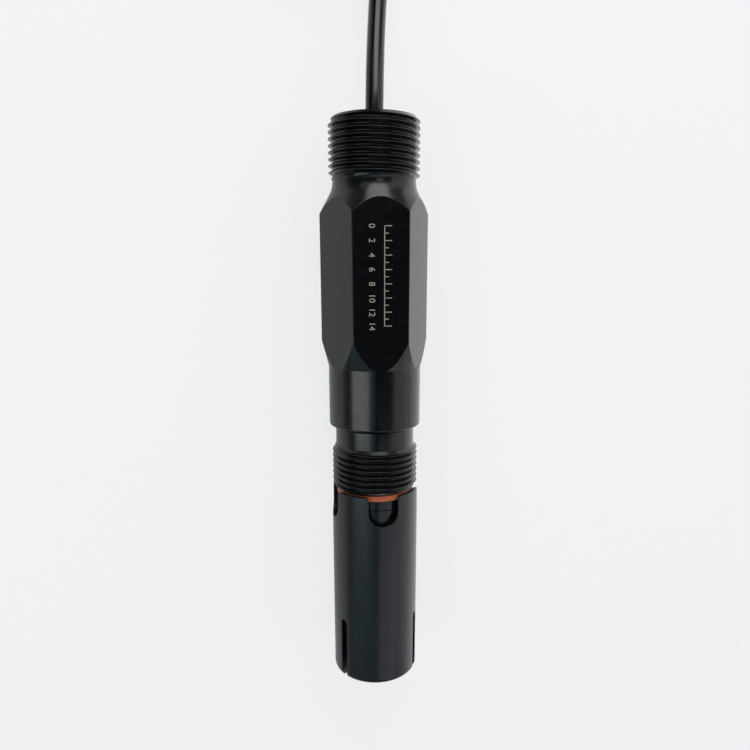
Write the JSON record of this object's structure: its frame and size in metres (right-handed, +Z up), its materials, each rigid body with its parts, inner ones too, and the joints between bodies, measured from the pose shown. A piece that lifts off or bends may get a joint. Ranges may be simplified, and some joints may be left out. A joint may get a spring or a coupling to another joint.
{
  "type": "ph sensor",
  "caption": "Inline pH sensor with a hexagonal black housing, pipe threads at both ends, an orange sealing ring, a slotted guard over its glass bulb and a long cable.",
  "frame": {"origin": "On the table under the middle of the sensor's length, from its top rim to its guard's end, and under its axis. The cable and what is on it are left out of that.", "axes": "+Y runs along the sensor's axis towards the cable end, +Z is up, and the sensor lies with one of its six flats up and another down"},
  "size_m": [0.0576, 0.4004, 0.0327],
  "materials": {
    "housing_plastic": "turned and milled black plastic, satin to glossy",
    "holder_plastic": "turned black plastic, satin",
    "guard_plastic": "turned black plastic tube, satin to glossy",
    "gland_plastic": "moulded black nylon",
    "washer_plastic": "natural nylon",
    "cap_plastic": "moulded plastic",
    "carrier_plastic": "moulded plastic",
    "connector_plastic": "moulded nylon",
    "chip_plastic": "moulded epoxy",
    "board_laminate": "lacquered laminate",
    "plug_resin": "cast resin",
    "junction_ceramic": "porous ceramic",
    "lead_plastic": "extruded insulation",
    "seal_rubber": "moulded rubber",
    "ring_rubber": "moulded silicone rubber, orange",
    "electrode_glass": "blown clear glass",
    "silver_wire": "drawn silver wire",
    "probe_steel": "drawn stainless steel tube",
    "tinned_copper": "tinned copper",
    "cable_jacket": "extruded polyurethane, glossy black",
    "tie_plastic": "moulded nylon",
    "sleeve_plastic": "shrunk sleeving",
    "core_red_plastic": "extruded insulation",
    "core_black_plastic": "extruded insulation",
    "core_green_plastic": "extruded insulation",
    "core_white_plastic": "extruded insulation"
  },
  "bodies": {
    "sensor": {"body_housing": "housing_plastic", "electrode_holder": "holder_plastic", "holder_seal_upper": "seal_rubber", "holder_seal_lower": "seal_rubber", "sealing_ring": "ring_rubber", "electrode_glass": "electrode_glass", "electrode_cap": "cap_plastic", "inner_wire": "silver_wire", "chamber_plug": "plug_resin", "reference_junction": "junction_ceramic", "reference_wire": "silver_wire", "temperature_probe": "probe_steel", "circuit_board": "board_laminate", "board_carrier": "carrier_plastic", "board_connector": "connector_plastic", "board_chips": "chip_plastic", "signal_leads": "lead_plastic", "cable_leads": "lead_plastic", "gland_nut": "gland_plastic", "gland_washer": "washer_plastic", "gland_bush": "seal_rubber", "cable_run": "cable_jacket", "cable_hank": "cable_jacket", "cable_tail": "cable_jacket", "hank_tie_near": "tie_plastic", "hank_tie_far": "tie_plastic", "end_sleeve": "sleeve_plastic", "core_red": "core_red_plastic", "core_black": "core_black_plastic", "core_green": "core_green_plastic", "core_white": "core_white_plastic", "core_ferrules": "tinned_copper"},
    "guard": {"guard": "guard_plastic"}
  },
  "joints": [
    {"name": "guard_slide", "type": "slide", "parent": "sensor", "child": "guard", "axis": [0, -1, 0], "range_m": [0, 0.07]}
  ]
}
